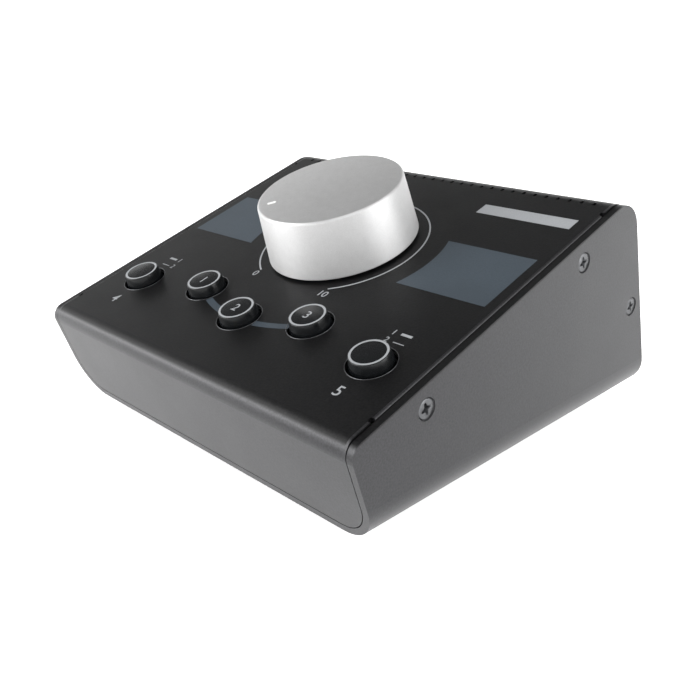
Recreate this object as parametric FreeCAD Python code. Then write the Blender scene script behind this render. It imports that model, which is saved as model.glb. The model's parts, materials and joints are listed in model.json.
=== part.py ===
import FreeCAD, Part

import math
import os

# Desktop studio monitor controller, in millimetres.
# A folded steel chassis is the bottom and both sides, and a folded steel cover is the front, the
# sloped top and the rear. A large knob and five push buttons stand on the slope, and the plug
# sockets look out of the rear.
#
# Most pieces are drawn on the slope: x to the right, v up the slope, w square to it and outwards,
# from the point where the knob's axis meets the slope. The finished model stands on z = 0, with
# its origin at the middle of the bottom of its bounding box.

# Driving dimensions of the case
slope_deg = 18.3
case_width = 137.0
knob_to_front = 70.1
knob_to_rear = 55.3
knob_above_bottom = 52.2

# Chassis sheet
chassis_sheet = 2.0
chassis_bend = 12.0
side_front_corner = 4.5
side_rear_corner = 10.0
side_drop = 0.4

# Cover sheet
cover_sheet = 1.5
cover_gap = 0.25
cover_front_bend = 4.5
cover_rear_bend = 8.5
cover_rear_inset = 1.8
fold_radius = 1.0
flange_depth = 12.0
top_flange_front = 59.0
top_flange_rear = 40.0
rear_flange_top = 24.0
rear_flange_bottom = 60.0
relief_radius = 0.9
relief_offset = 1.6

# Row of small vents where the slope turns into the rear bend of the cover
vent_pitch = 4.05
vent_count = 31
vent_width = 0.9
vent_length = 1.5
vent_past_bend = 0.3

# Countersunk screws through the chassis sides, as distances from the knob's axis
screw_radius = 1.5
screw_length = 8.0
screw_head_radius = 2.9
screw_head_depth = 1.6
screw_recess = 0.2
screw_seat_gap = 0.15
screw_thread_gap = 0.05
cross_width = 0.8
cross_length = 3.4
cross_depth = 1.2
upper_screw_depth = 7.0
front_screw_ahead = 45.0
middle_screw_behind = 25.5
rear_screw_behind = 49.6
rear_screw_depth = 36.7

# Feet
foot_radius = 6.5
foot_height = 3.0
foot_taper = 0.8
foot_side_inset = 20.0
foot_end_inset = 12.0
foot_screw_radius = 1.5
foot_screw_head_radius = 2.9
foot_screw_head_height = 1.4
foot_screw_length = 8.0
foot_well_gap = 0.2
foot_floor = 1.3

# Knob
knob_base_radius = 23.9
knob_top_radius = 22.9
knob_height = 18.0
knob_float = 1.2
knob_rim = 0.5
knob_top_plate = 2.0
knob_bore_radius = 21.2
knob_fit = 0.05
hub_skirt = 1.6
hub_boss_radius = 6.5
hub_disc = 2.4
hub_rib = 1.4
hub_rib_count = 6
hub_lift = 0.8
hub_foot_above_bushing = 1.5
pointer_length = 2.8
pointer_width = 0.9
pointer_depth = 0.4
pointer_from_rim = 4.4
volume_travel_deg = 280.0

# Rotary control under the knob
pot_body_radius = 8.5
pot_bushing_radius = 3.5
pot_bushing_height = 4.6
pot_shaft_radius = 3.0
pot_shaft_gap = 0.05
pot_shaft_into_knob = 9.0
pot_shaft_sunk = 6.0
pot_shaft_end_gap = 0.4
pot_hole_gap = 0.1
pot_flat = 1.5
washer_thickness = 0.5
washer_radius = 6.0
pot_nut_across_flats = 10.0
pot_nut_height = 2.0

# Push buttons: the two selectors stand in from the sides, the other three on an arc by the knob.
# Each place has its name, its distance to the right of the knob's axis and its distance ahead.
selector_inset = 17.4
selector_ahead = 43.4
arc_button_aside = 23.5
arc_button_ahead = 38.1
mute_ahead = 44.4
button_places = (
    ("source_select", selector_inset - case_width / 2, selector_ahead),
    ("mono", -arc_button_aside, arc_button_ahead),
    ("mute", 0.0, mute_ahead),
    ("dim", arc_button_aside, arc_button_ahead),
    ("monitor_select", case_width / 2 - selector_inset, selector_ahead),
)
button_hole_radius = 6.8
button_top_radius = 5.8
button_side_radius = 6.3
button_rise = 3.1
button_edge = 0.35
button_skirt = 3.2
button_collar = 0.9
button_collar_overlap = 0.7
button_travel = 2.0
button_wall = 1.2
stem_width = 3.2
stem_gap = 0.3
stem_engagement = 3.2
switch_width = 8.5
switch_floor = 0.8
switch_clear = 0.4

# Control board under the slope
board_thickness = 1.6
board_below_top = 12.0
board_side_inset = 9.5
board_front = 64.0
board_rear = 18.0
board_corner = 3.0
standoff_across_flats = 5.0
standoff_inset = 5.0
board_screw_radius = 1.3
board_screw_head_radius = 2.5
board_screw_head_height = 1.6
board_screw_length = 6.0

# Plug sockets on the rear: two rows of four large ones and one small one
jack_columns = (-39.0, -17.0, 17.0, 39.0)
jack_rows = (26.0, 50.0)
jack_width = 13.0
jack_body_height = 12.5
jack_body_depth = 27.0
jack_bushing_radius = 4.7
jack_bushing_length = 5.2
jack_bore_radius = 3.25
jack_end_wall = 1.5
jack_hole_gap = 0.1
jack_nut_across_flats = 12.7
jack_nut_height = 2.6
jack_nut_gap = 0.05
jack_washer_radius = 7.6
mini_jack_row = 26.0
mini_jack_width = 9.0
mini_jack_height = 8.0
mini_bushing_radius = 2.9
mini_bushing_length = 3.4
mini_bore_radius = 1.8
mini_nut_across_flats = 8.0
mini_nut_height = 1.8
jack_board_half_width = 48.0
jack_board_margin = 9.0

# Flat cable between the boards
plug_half_width = 12.0
plug_depth = 5.0
plug_height = 6.4
cable_half_width = 10.5
cable_thickness = 1.0
cable_bend = 6.0
cable_plug_front = 12.0
cable_plug_row = 41.0


slope = math.radians(slope_deg)
half_width = case_width / 2.0
bottom_z = -knob_above_bottom
inner_half_width = half_width - chassis_sheet
cover_half_width = inner_half_width - cover_gap
board_half_width = half_width - board_side_inset
cover_rear_face = knob_to_rear - cover_rear_inset
rear_panel_inner = cover_rear_face - cover_sheet
far = 4.0 * (case_width + knob_to_front + knob_to_rear)

X = FreeCAD.Vector(1, 0, 0)
V = FreeCAD.Vector(0, 1, 0)
W = FreeCAD.Vector(0, 0, 1)


def point(x, v, w):
    return FreeCAD.Vector(x, v, w)


def box(x0, x1, v0, v1, w0, w1):
    return Part.makeBox(x1 - x0, v1 - v0, w1 - w0, point(x0, v0, w0))


def rod(x, v, w0, w1, radius):
    return Part.makeCylinder(radius, w1 - w0, point(x, v, w0), W)


def hex_prism(across_flats, low, height):
    """Hexagonal bar along the W axis, from the height low upwards."""
    corner = across_flats / math.sqrt(3)
    turns = [math.radians(60 * i) for i in range(6)]
    corners = [point(corner * math.cos(a), corner * math.sin(a), low) for a in turns]
    return Part.Face(Part.makePolygon(corners + corners[:1])).extrude(W * height)


def facing_rear(shape):
    """Turn a shape that stands along W so that it stands along V."""
    copy = shape.copy()
    copy.rotate(point(0, 0, 0), X, -90)
    return copy


def revolved(profile):
    """Turn a closed outline of (radius, height) corners about the W axis."""
    corners = [point(r, 0, h) for r, h in profile]
    face = Part.Face(Part.makePolygon(corners + corners[:1]))
    return face.revolve(point(0, 0, 0), W, 360)


def moved(shape, x, v, w=0.0):
    copy = shape.copy()
    copy.translate(point(x, v, w))
    return copy


def on_slope(shape):
    """Carry a shape from the slope's own axes to level axes about the same origin."""
    copy = shape.copy()
    copy.rotate(point(0, 0, 0), X, slope_deg)
    return copy


def off_slope(shape):
    """Carry a shape from level axes to the slope's own axes."""
    copy = shape.copy()
    copy.rotate(point(0, 0, 0), X, -slope_deg)
    return copy


def bottom_edge_y(v):
    """Level y at which a face square to the slope at v meets the bottom."""
    depth = (v * math.sin(slope) - bottom_z) / math.cos(slope)
    return v * math.cos(slope) + depth * math.sin(slope)


def single(shape):
    """Give back the one solid that a cut or fuse has made."""
    return shape.Solids[0] if len(shape.Solids) == 1 else shape


def channel_area(half, low_z, bend):
    """Area inside a level channel: flat bottom, rounded lower corners, open above."""
    arc_x = half - bend
    arc_z = low_z + bend
    k = bend * math.sqrt(0.5)
    high = far
    edges = [
        Part.LineSegment(point(-half, 0, high), point(-half, 0, arc_z)).toShape(),
        Part.Arc(point(-half, 0, arc_z), point(-arc_x - k, 0, arc_z - k),
                 point(-arc_x, 0, low_z)).toShape(),
        Part.LineSegment(point(-arc_x, 0, low_z), point(arc_x, 0, low_z)).toShape(),
        Part.Arc(point(arc_x, 0, low_z), point(arc_x + k, 0, arc_z - k),
                 point(half, 0, arc_z)).toShape(),
        Part.LineSegment(point(half, 0, arc_z), point(half, 0, high)).toShape(),
        Part.LineSegment(point(half, 0, high), point(-half, 0, high)).toShape(),
    ]
    return Part.Face(Part.Wire(edges))


def channel_prism(half, low_z, bend):
    """The same area drawn out along y, as a solid on the slope's axes."""
    area = channel_area(half, low_z, bend)
    area.translate(point(0, -far, 0))
    return off_slope(area.extrude(V * (2 * far)))


def hood_wire(front, rear, top, low_front, low_rear, front_bend, rear_bend):
    """Outline in the v-w plane: up the front, round, along the slope, round, down the rear."""
    kf = front_bend * (1 - math.sqrt(0.5))
    kr = rear_bend * (1 - math.sqrt(0.5))
    return [
        Part.LineSegment(point(0, front, low_front), point(0, front, top - front_bend)).toShape(),
        Part.Arc(point(0, front, top - front_bend), point(0, front + kf, top - kf),
                 point(0, front + front_bend, top)).toShape(),
        Part.LineSegment(point(0, front + front_bend, top), point(0, rear - rear_bend, top)).toShape(),
        Part.Arc(point(0, rear - rear_bend, top), point(0, rear - kr, top - kr),
                 point(0, rear, top - rear_bend)).toShape(),
        Part.LineSegment(point(0, rear, top - rear_bend), point(0, rear, low_rear)).toShape(),
    ]


def hood_prism(front, rear, top, front_bend, rear_bend, half):
    """Solid below that outline, drawn out to both sides of the middle plane."""
    low = -2 * far
    edges = hood_wire(front, rear, top, low, low, front_bend, rear_bend)
    edges.append(Part.LineSegment(point(0, rear, low), point(0, front, low)).toShape())
    area = Part.Face(Part.Wire(edges))
    area.translate(point(-half, 0, 0))
    return area.extrude(X * (2 * half))


def side_screw_places():
    """Where the three screws of each side sit, in v and w."""
    return (
        (-front_screw_ahead, -upper_screw_depth),
        (middle_screw_behind, -upper_screw_depth),
        (rear_screw_behind, -rear_screw_depth),
    )


def side_screw_cutter(side, v, w, grow_head, grow_shank):
    """Countersink and clearance hole of one side screw, with its head at the outer face."""
    outer = half_width - screw_recess
    head = Part.makeCone(
        screw_radius + grow_head, screw_head_radius + grow_head, screw_head_depth,
        point(outer - screw_head_depth, v, w), X)
    mouth = Part.makeCylinder(screw_head_radius + grow_head, screw_recess + chassis_sheet,
                              point(outer, v, w), X)
    shank = Part.makeCylinder(screw_radius + grow_shank, screw_length + chassis_sheet,
                              point(outer - screw_length - chassis_sheet, v, w), X)
    tool = head.fuse([mouth, shank])
    return tool if side > 0 else tool.mirror(point(0, 0, 0), X)


def make_chassis():
    """One sheet folded up at both sides, its edges cut flush with the cover's front face."""
    outer = channel_prism(half_width, bottom_z, chassis_bend)
    inner = channel_prism(inner_half_width, bottom_z + chassis_sheet, chassis_bend - chassis_sheet)
    outline = hood_prism(-knob_to_front, knob_to_rear, -side_drop, side_front_corner - side_drop,
                         side_rear_corner, far)
    body = outer.cut(inner).common(outline)
    for side in (-1, 1):
        for v, w in side_screw_places():
            body = body.cut(side_screw_cutter(side, v, w, screw_seat_gap, screw_seat_gap))
    for x, y in foot_places():
        body = body.cut(off_slope(rod(x, y, bottom_z - 1, bottom_z + chassis_sheet + 1,
                                      foot_screw_radius + screw_thread_gap)))
    return single(body)


def foot_places():
    """The four feet, in x and level y."""
    front_y = bottom_edge_y(-knob_to_front)
    rear_y = bottom_edge_y(knob_to_rear)
    places = []
    for x in (-(half_width - foot_side_inset), half_width - foot_side_inset):
        for y in (front_y + foot_end_inset, rear_y - foot_end_inset):
            places.append((x, y))
    return places


def make_top_cover():
    """One sheet: front face, front bend, slope, rear bend and rear panel, with four side flanges."""
    front = -knob_to_front
    outer = hood_prism(front, cover_rear_face, 0, cover_front_bend, cover_rear_bend,
                       cover_half_width)
    inner = hood_prism(front + cover_sheet, rear_panel_inner, -cover_sheet,
                       cover_front_bend - cover_sheet, cover_rear_bend - cover_sheet, far)
    floor = channel_prism(cover_half_width, bottom_z + chassis_sheet + cover_gap,
                          chassis_bend - chassis_sheet - cover_gap)
    body = outer.cut(inner).common(floor)

    flanges = []
    for side in (-1, 1):
        x0, x1 = sorted((side * (cover_half_width - cover_sheet), side * cover_half_width))
        flanges.append(box(x0, x1, -top_flange_front, top_flange_rear, -flange_depth, -cover_sheet))
        flanges.append(box(x0, x1, rear_panel_inner - flange_depth, rear_panel_inner,
                           -rear_flange_bottom, -rear_flange_top))
    body = body.fuse(flanges).removeSplitter()

    for side in (-1, 1):
        x = side * (cover_half_width - relief_radius * 0.4)
        for v in (-top_flange_front - relief_offset + relief_radius,
                  top_flange_rear + relief_offset - relief_radius):
            body = body.cut(rod(x, v, -2 * cover_sheet, cover_sheet, relief_radius))

    folds = []
    for edge in body.Edges:
        ends = edge.BoundBox
        outer_x = abs(abs(ends.Center.x) - cover_half_width) < 0.01 and ends.XLength < 0.01
        on_top = abs(ends.ZMin) < 0.01 and abs(ends.ZMax) < 0.01
        between = ends.YMin > -top_flange_front - 0.01 - relief_offset
        between = between and ends.YMax < top_flange_rear + 0.01 + relief_offset
        if outer_x and on_top and between:
            folds.append(edge)
    body = body.makeFillet(fold_radius, folds)

    cutters = [rod(0, 0, -2 * cover_sheet, cover_sheet, pot_bushing_radius + pot_hole_gap)]
    for _, x, ahead in button_places:
        cutters.append(rod(x, -ahead, -2 * cover_sheet, cover_sheet, button_hole_radius))
    for x, depth in jack_places():
        cutters.append(Part.makeCylinder(jack_bushing_radius + jack_hole_gap, 4 * cover_sheet,
                                         point(x, rear_panel_inner - cover_sheet, -depth), V))
    cutters.append(Part.makeCylinder(mini_bushing_radius + jack_hole_gap, 4 * cover_sheet,
                                     point(0, rear_panel_inner - cover_sheet, -mini_jack_row), V))
    first = -(vent_count - 1) * vent_pitch / 2.0
    middle = cover_rear_face - cover_rear_bend + vent_past_bend
    for i in range(vent_count):
        x = first + i * vent_pitch
        cutters.append(box(x - vent_width / 2, x + vent_width / 2, middle - vent_length / 2,
                           middle + vent_length / 2, -2 * cover_sheet, cover_sheet))
    body = body.cut(cutters)

    for side in (-1, 1):
        for v, w in side_screw_places():
            body = body.cut(Part.makeCylinder(
                screw_radius + screw_thread_gap, 4 * cover_sheet,
                point(side * (cover_half_width + cover_sheet), v, w), X * -side))
    return single(body)


def make_side_screws():
    """Six countersunk screws with a cross recess."""
    screws = []
    for side in (-1, 1):
        for v, w in side_screw_places():
            outer = half_width - screw_recess
            head = Part.makeCone(screw_radius, screw_head_radius, screw_head_depth,
                                 point(outer - screw_head_depth, v, w), X)
            shank = Part.makeCylinder(screw_radius, screw_length - screw_head_depth,
                                      point(outer - screw_length, v, w), X)
            screw = head.fuse(shank)
            for a, b in ((cross_width, cross_length), (cross_length, cross_width)):
                screw = screw.cut(box(outer - cross_depth, outer + 1, v - a / 2, v + a / 2,
                                      w - b / 2, w + b / 2))
            screws.append(single(screw if side > 0 else screw.mirror(point(0, 0, 0), X)))
    return Part.makeCompound(screws)


def make_feet():
    """Four tapered rubber feet, each with a well for its screw."""
    low = bottom_z - foot_height
    feet = []
    for x, y in foot_places():
        foot = Part.makeCone(foot_radius - foot_taper, foot_radius, foot_height, point(x, y, low), W)
        well = rod(x, y, low - 1, low + foot_height - foot_floor,
                   foot_screw_head_radius + foot_well_gap)
        hole = rod(x, y, low - 1, bottom_z + 1, foot_screw_radius + screw_thread_gap)
        feet.append(off_slope(foot.cut([well, hole])))
    return Part.makeCompound([foot.Solids[0] for foot in feet])


def make_foot_screws():
    """Four pan-head screws that hold the feet to the bottom."""
    screws = []
    for x, y in foot_places():
        seat = bottom_z - foot_floor
        head = rod(x, y, seat - foot_screw_head_height, seat, foot_screw_head_radius)
        shank = rod(x, y, seat, seat + foot_screw_length, foot_screw_radius)
        screws.append(off_slope(head.fuse(shank)))
    return Part.makeCompound([screw.Solids[0] for screw in screws])


def shaft_top():
    return pot_bushing_height + hub_foot_above_bushing + pot_shaft_into_knob


def make_knob_shell():
    """Turned aluminium cup, a little wider at its foot, with a narrow rounded rim."""
    top = knob_float + knob_height
    outline = [
        (knob_bore_radius, knob_float),
        (knob_base_radius, knob_float),
        (knob_top_radius, top - knob_rim),
        (knob_top_radius - knob_rim, top),
        (0, top),
        (0, top - knob_top_plate),
        (knob_bore_radius, top - knob_top_plate),
    ]
    shell = revolved(outline)
    return single(shell.cut(pointer_block(0)))


def pointer_block(above):
    """Bar of the pointer, at its place on the knob's top with the knob turned right down."""
    top = knob_float + knob_height
    outer = knob_top_radius - knob_rim - pointer_from_rim
    bar = box(outer - pointer_length / 2, outer + pointer_length / 2, -pointer_width / 2,
              pointer_width / 2, top - pointer_depth, top + above)
    bar.rotate(point(0, 0, 0), W, -90 - (360 - volume_travel_deg) / 2.0)
    return bar


def make_knob_pointer():
    return pointer_block(0)


def make_knob_hub():
    """Moulded insert that carries the shell: disc, outer wall, ribs and a boss with a D bore."""
    foot = knob_float + hub_lift
    top = knob_float + knob_height - knob_top_plate
    wall = knob_bore_radius - knob_fit
    boss_foot = pot_bushing_height + hub_foot_above_bushing
    disc = rod(0, 0, top - hub_disc, top, wall)
    skirt = rod(0, 0, foot, top, wall).cut(rod(0, 0, foot - 1, top + 1, wall - hub_skirt))
    boss = rod(0, 0, boss_foot, top, hub_boss_radius)
    ribs = []
    for i in range(hub_rib_count):
        rib = box(hub_boss_radius - hub_skirt, wall - hub_skirt / 2, -hub_rib / 2, hub_rib / 2,
                  boss_foot, top - hub_disc / 2)
        rib.rotate(point(0, 0, 0), W, i * 360.0 / hub_rib_count)
        ribs.append(rib)
    hub = disc.fuse([skirt, boss] + ribs).removeSplitter()
    bore = shaft_solid(boss_foot - 1, shaft_top() + pot_shaft_end_gap, knob_fit)
    return single(hub.cut(bore))


def shaft_solid(low, high, grow):
    """Round shaft with a flat on one side above the bushing."""
    shaft = rod(0, 0, low, high, pot_shaft_radius + grow)
    flat = pot_shaft_radius - pot_flat + grow
    start = max(low - 1, pot_bushing_height + hub_foot_above_bushing / 2)
    cut = box(-far, far, flat, far, start, high + 1)
    return single(shaft.cut(cut))


def make_pot_shaft():
    return shaft_solid(-pot_shaft_sunk, shaft_top(), 0)


def make_pot_body():
    """Can of the rotary control with its threaded bushing, bored for the shaft."""
    body = rod(0, 0, -board_below_top, -cover_sheet, pot_body_radius)
    bushing = rod(0, 0, -cover_sheet, pot_bushing_height, pot_bushing_radius)
    bore = rod(0, 0, -pot_shaft_sunk - pot_shaft_end_gap, pot_bushing_height + 1,
               pot_shaft_radius + pot_shaft_gap)
    return single(body.fuse(bushing).cut(bore))


def make_pot_washer():
    hole = pot_bushing_radius + pot_hole_gap
    return single(rod(0, 0, 0, washer_thickness, washer_radius).cut(rod(0, 0, -1, 1, hole)))


def make_pot_nut():
    nut = hex_prism(pot_nut_across_flats, washer_thickness, pot_nut_height)
    hole = rod(0, 0, 0, washer_thickness + pot_nut_height + 1, pot_bushing_radius + knob_fit)
    return single(nut.cut(hole))


def cap_foot():
    return -button_skirt


def stem_top():
    return button_rise - button_wall


def switch_top():
    return cap_foot() - button_travel - switch_clear


def make_button_cap(x, ahead):
    """Round cap with a soft edge, straight side, and a collar that catches under the cover."""
    outline = [
        (0, button_rise),
        (button_top_radius - button_edge, button_rise),
        (button_top_radius, button_rise - button_edge),
        (button_side_radius, 0),
        (button_side_radius, cap_foot() + button_collar),
        (button_hole_radius + button_collar_overlap, cap_foot() + button_collar),
        (button_hole_radius + button_collar_overlap, cap_foot()),
        (0, cap_foot()),
    ]
    cap = revolved(outline)
    half = stem_width / 2 + knob_fit
    cap = cap.cut(box(-half, half, -half, half, cap_foot() - 1, stem_top()))
    return moved(single(cap), x, -ahead)


def stem_foot():
    return switch_top() - stem_engagement


def make_stem(x, ahead):
    half = stem_width / 2
    return moved(box(-half, half, -half, half, stem_foot(), stem_top()), x, -ahead)


def make_switch(x, ahead):
    """Square push-switch body on the board, open above for its stem."""
    half = switch_width / 2
    well = stem_width / 2 + stem_gap
    body = box(-half, half, -half, half, -board_below_top, switch_top())
    body = body.cut(box(-well, well, -well, well, -board_below_top + switch_floor, switch_top() + 1))
    return moved(single(body), x, -ahead)


def standoff_places():
    x = board_half_width - standoff_inset
    return [(sx * x, v) for sx in (-1, 1) for v in (-board_front + standoff_inset,
                                                    board_rear - standoff_inset)]


def make_control_board():
    top = -board_below_top
    board = box(-board_half_width, board_half_width, -board_front, board_rear,
                top - board_thickness, top)
    corners = [e for e in board.Edges if abs(e.BoundBox.ZLength - board_thickness) < 0.01]
    board = board.makeFillet(board_corner, corners)
    for x, v in standoff_places():
        board = board.cut(rod(x, v, top - 2 * board_thickness, top + 1,
                              board_screw_radius + screw_thread_gap))
    return single(board)


def make_standoffs():
    """Four hexagonal pillars that hang the control board under the slope."""
    posts = []
    for x, v in standoff_places():
        post = moved(hex_prism(standoff_across_flats, -board_below_top,
                               board_below_top - cover_sheet), x, v)
        hole = rod(x, v, -board_below_top - 1, -board_below_top - board_thickness
                   + board_screw_length + screw_thread_gap, board_screw_radius + screw_thread_gap)
        posts.append(single(post.cut(hole)))
    return Part.makeCompound(posts)


def make_board_screws():
    screws = []
    for x, v in standoff_places():
        seat = -board_below_top - board_thickness
        head = rod(x, v, seat - board_screw_head_height, seat, board_screw_head_radius)
        shank = rod(x, v, seat, seat + board_screw_length, board_screw_radius)
        screws.append(single(head.fuse(shank)))
    return Part.makeCompound(screws)


def jack_places():
    return [(x, depth) for depth in jack_rows for x in jack_columns]


def jack_board_face():
    return rear_panel_inner - jack_body_depth


def make_jack(x, depth):
    """Large plug socket: square body behind the panel and a threaded bushing through it."""
    body = box(-jack_width / 2, jack_width / 2, jack_board_face(), rear_panel_inner,
               -jack_body_height / 2, jack_body_height / 2)
    bushing = Part.makeCylinder(jack_bushing_radius, cover_sheet + jack_bushing_length,
                                point(0, rear_panel_inner, 0), V)
    bore = Part.makeCylinder(jack_bore_radius, jack_body_depth + far,
                             point(0, jack_board_face() + jack_end_wall, 0), V)
    return moved(single(body.fuse(bushing).cut(bore)), x, 0, -depth)


def make_jack_washers():
    washers = []
    for x, depth in jack_places():
        ring = Part.makeCylinder(jack_washer_radius, washer_thickness,
                                 point(x, cover_rear_face, -depth), V)
        hole = Part.makeCylinder(jack_bushing_radius + jack_hole_gap, washer_thickness + 2,
                                 point(x, cover_rear_face - 1, -depth), V)
        washers.append(single(ring.cut(hole)))
    return Part.makeCompound(washers)


def make_jack_nuts():
    """Eight hexagonal nuts, one on each large socket."""
    seat = cover_rear_face + washer_thickness
    nut = facing_rear(hex_prism(jack_nut_across_flats, seat, jack_nut_height))
    hole = Part.makeCylinder(jack_bushing_radius + jack_nut_gap, jack_nut_height + 2,
                             point(0, seat - 1, 0), V)
    nut = single(nut.cut(hole))
    return Part.makeCompound([moved(nut, x, 0, -depth) for x, depth in jack_places()])


def make_mini_jack():
    """Small plug socket between the columns of the upper row."""
    body = box(-mini_jack_width / 2, mini_jack_width / 2, jack_board_face(), rear_panel_inner,
               -mini_jack_height / 2, mini_jack_height / 2)
    bushing = Part.makeCylinder(mini_bushing_radius, cover_sheet + mini_bushing_length,
                                point(0, rear_panel_inner, 0), V)
    bore = Part.makeCylinder(mini_bore_radius, far,
                             point(0, jack_board_face() + jack_end_wall, 0), V)
    return moved(single(body.fuse(bushing).cut(bore)), 0, 0, -mini_jack_row)


def make_mini_nut():
    nut = facing_rear(hex_prism(mini_nut_across_flats, cover_rear_face, mini_nut_height))
    hole = Part.makeCylinder(mini_bushing_radius + jack_nut_gap, mini_nut_height + 2,
                             point(0, cover_rear_face - 1, 0), V)
    return moved(single(nut.cut(hole)), 0, 0, -mini_jack_row)


def make_jack_board():
    """Board square to the rear panel's normal that carries every socket."""
    face = jack_board_face()
    high = -min(jack_rows) + jack_board_margin
    low = -max(jack_rows) - jack_board_margin
    return box(-jack_board_half_width, jack_board_half_width, face - board_thickness, face, low, high)


def make_board_plug():
    """Cable plug under the control board."""
    top = -board_below_top - board_thickness
    middle = cable_plug_front - plug_depth / 2
    return box(-plug_half_width, plug_half_width, middle - plug_depth / 2, middle + plug_depth / 2,
               top - plug_height, top)


def make_jack_plug():
    """Cable plug on the front of the jack board."""
    face = jack_board_face() - board_thickness
    return box(-plug_half_width, plug_half_width, cable_end(), face,
               -cable_plug_row - plug_depth / 2, -cable_plug_row + plug_depth / 2)


def cable_end():
    return cable_plug_front - plug_depth / 2 + cable_bend


def make_flat_cable():
    """Flat cable: straight down from the upper plug, then one bend into the lower plug."""
    start = -board_below_top - board_thickness - plug_height
    v = cable_plug_front - plug_depth / 2
    t = cable_thickness / 2
    bend_w = -cable_plug_row + cable_bend
    drop = box(-cable_half_width, cable_half_width, v - t, v + t, bend_w, start)
    ring = Part.makeCylinder(cable_bend + t, 2 * cable_half_width,
                             point(-cable_half_width, v + cable_bend, bend_w), X)
    core = Part.makeCylinder(cable_bend - t, 2 * cable_half_width,
                             point(-cable_half_width, v + cable_bend, bend_w), X)
    quarter = box(-cable_half_width, cable_half_width, v - far, v + cable_bend, bend_w - far, bend_w)
    return single(drop.fuse(ring.cut(core).common(quarter)).removeSplitter())


def build():
    """Every piece by its name, on the slope's axes."""
    pieces = {
        "chassis": make_chassis(),
        "top_cover": make_top_cover(),
        "side_screws": make_side_screws(),
        "rubber_feet": make_feet(),
        "foot_screws": make_foot_screws(),
        "knob_shell": make_knob_shell(),
        "knob_hub": make_knob_hub(),
        "knob_pointer": make_knob_pointer(),
        "volume_shaft": make_pot_shaft(),
        "volume_control_body": make_pot_body(),
        "volume_washer": make_pot_washer(),
        "volume_nut": make_pot_nut(),
        "control_board": make_control_board(),
        "board_standoffs": make_standoffs(),
        "board_screws": make_board_screws(),
        "jack_board": make_jack_board(),
        "jack_washers": make_jack_washers(),
        "jack_nuts": make_jack_nuts(),
        "mini_jack": make_mini_jack(),
        "mini_jack_nut": make_mini_nut(),
        "control_board_plug": make_board_plug(),
        "jack_board_plug": make_jack_plug(),
        "flat_cable": make_flat_cable(),
    }
    for name, x, ahead in button_places:
        pieces[name + "_button"] = make_button_cap(x, ahead)
        pieces[name + "_stem"] = make_stem(x, ahead)
        pieces[name + "_switch"] = make_switch(x, ahead)
    for number, (x, depth) in enumerate(jack_places(), start=1):
        pieces["line_jack_%d" % number] = make_jack(x, depth)
    return pieces


level = {name: on_slope(shape) for name, shape in build().items()}
whole = FreeCAD.BoundBox()
for shape in level.values():
    whole.add(shape.optimalBoundingBox(False))
shift = point(-(whole.XMin + whole.XMax) / 2, -(whole.YMin + whole.YMax) / 2, -whole.ZMin)

os.makedirs("parts", exist_ok=True)
for name, shape in level.items():
    shape.translate(shift)
    shape.exportStep("parts/" + name + ".step")

print("knob axis meets the slope at y %.3f, z %.3f" % (shift.y, shift.z))
print("box %.2f x %.2f x %.2f" % (whole.XLength, whole.YLength, whole.ZLength))
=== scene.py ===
import json
import math

import bmesh
import bpy
from mathutils import Matrix, Vector


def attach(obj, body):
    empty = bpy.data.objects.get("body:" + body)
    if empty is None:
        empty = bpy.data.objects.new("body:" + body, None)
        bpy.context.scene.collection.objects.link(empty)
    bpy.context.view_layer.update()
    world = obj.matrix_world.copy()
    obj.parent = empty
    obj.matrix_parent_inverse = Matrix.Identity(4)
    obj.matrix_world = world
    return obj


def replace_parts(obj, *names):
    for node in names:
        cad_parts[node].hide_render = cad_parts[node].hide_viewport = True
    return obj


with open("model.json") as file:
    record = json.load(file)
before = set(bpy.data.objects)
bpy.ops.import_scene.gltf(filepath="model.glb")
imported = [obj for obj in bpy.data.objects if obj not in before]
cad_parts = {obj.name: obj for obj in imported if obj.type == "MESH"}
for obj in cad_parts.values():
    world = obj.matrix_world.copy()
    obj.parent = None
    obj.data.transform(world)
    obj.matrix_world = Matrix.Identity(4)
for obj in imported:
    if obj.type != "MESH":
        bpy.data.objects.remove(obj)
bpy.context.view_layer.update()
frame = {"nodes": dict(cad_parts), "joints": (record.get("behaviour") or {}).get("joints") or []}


# Case: a folded steel chassis and a folded steel cover, powder-coated in dark metallic grey. The
# slope is drawn near-black, and so are the upward-facing sheet edges beside it, where the black is
# painted shade; the grey shows again on the two long folds as a thin painted highlight.
turn = next(joint for joint in frame["joints"] if joint["name"] == "volume_turn")
w_axis = -Vector(turn["axis"])
x_axis = Vector((1, 0, 0))
v_axis = w_axis.cross(x_axis)
knob_point = Vector(turn["pos_m"])
slope_angle = math.atan2(v_axis.z, v_axis.y)
slope = (Matrix.Translation(knob_point)
         @ Matrix((x_axis, v_axis, w_axis)).transposed().to_4x4()
         @ Matrix.Scale(0.001, 4))


def linear(code):
    """Linear red, green, blue and alpha of an sRGB hex colour."""
    parts = [int(code[i:i + 2], 16) / 255 for i in (1, 3, 5)]
    return [p / 12.92 if p <= 0.04045 else ((p + 0.055) / 1.055) ** 2.4 for p in parts] + [1.0]


def new_material(name):
    material = bpy.data.materials.new(name)
    material.use_nodes = True
    return material, material.node_tree, material.node_tree.nodes["Principled BSDF"]


def add_node(tree, kind, inputs=(), **settings):
    """Add a node; each input takes a value or the socket that feeds it."""
    node = tree.nodes.new("ShaderNode" + kind)
    for key, value in settings.items():
        setattr(node, key, value)
    for key, value in dict(inputs).items():
        if isinstance(value, bpy.types.NodeSocket):
            tree.links.new(value, node.inputs[key])
        else:
            node.inputs[key].default_value = value
    return node


def dress(material, *names):
    """Give CAD nodes their material."""
    for name in names:
        slots = frame["nodes"][name].data.materials
        slots.clear()
        slots.append(material)
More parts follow.
